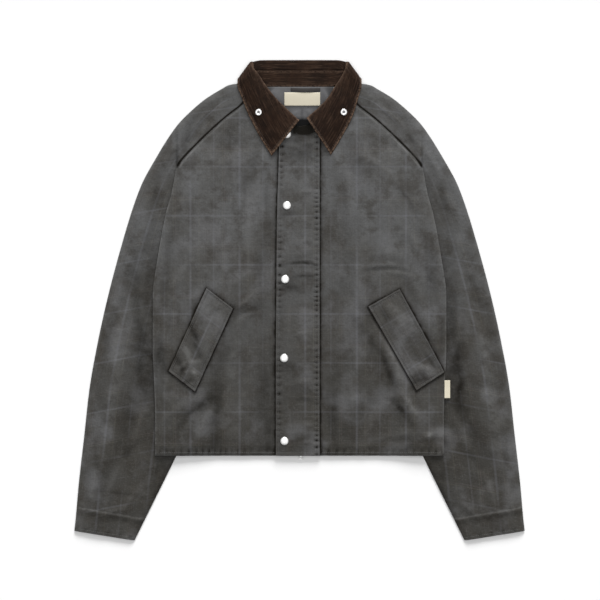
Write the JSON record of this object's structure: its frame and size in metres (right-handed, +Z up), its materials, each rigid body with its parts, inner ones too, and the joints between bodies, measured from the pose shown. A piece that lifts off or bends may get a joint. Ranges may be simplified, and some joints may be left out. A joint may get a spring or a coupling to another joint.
{
  "type": "waxed cotton jacket",
  "caption": "Short waxed cotton jacket with raglan sleeves, corduroy collar, snap placket and slanted pocket flaps, lying flat on its back.",
  "frame": {"origin": "on the surface under the middle of the jacket's outline", "axes": "+X to the right seen from above, toward the wearer's left sleeve; +Y toward the collar; +Z up from the surface"},
  "size_m": [0.8332, 0.8875, 0.0181],
  "materials": {
    "shell": "waxed cotton, faint tone-on-tone check, low sheen",
    "corduroy": "cotton corduroy, fine wale",
    "lining": "plain cotton lining",
    "tape": "woven cotton tape, bare",
    "zip_tape": "woven tape with closed coil",
    "metal": "nickel plated, satin"
  },
  "bodies": {
    "jacket": {"back": "shell", "front_right": "shell", "front_left": "shell", "sleeve_right_front": "shell", "sleeve_right_back": "shell", "sleeve_left_front": "shell", "sleeve_left_back": "shell", "placket": "shell", "pocket_flap_right": "shell", "pocket_flap_left": "shell", "collar_stand": "corduroy", "collar_leaf": "corduroy", "back_lining": "lining", "hanger_loop": "lining", "neck_label": "tape", "side_tab": "tape", "zip": "zip_tape", "zip_slider": "metal", "snap_1": "metal", "snap_2": "metal", "snap_3": "metal", "snap_4": "metal", "snap_5": "metal", "collar_stud_right": "metal", "collar_stud_left": "metal"},
    "zip_pull": {"zip_pull": "metal"}
  },
  "joints": [
    {"name": "zip_pull_swing", "type": "hinge", "parent": "jacket", "child": "zip_pull", "pos_m": [0.0026, -0.2884, 0.0039], "axis": [-1, 0, 0], "range_deg": [0, 90]}
  ]
}
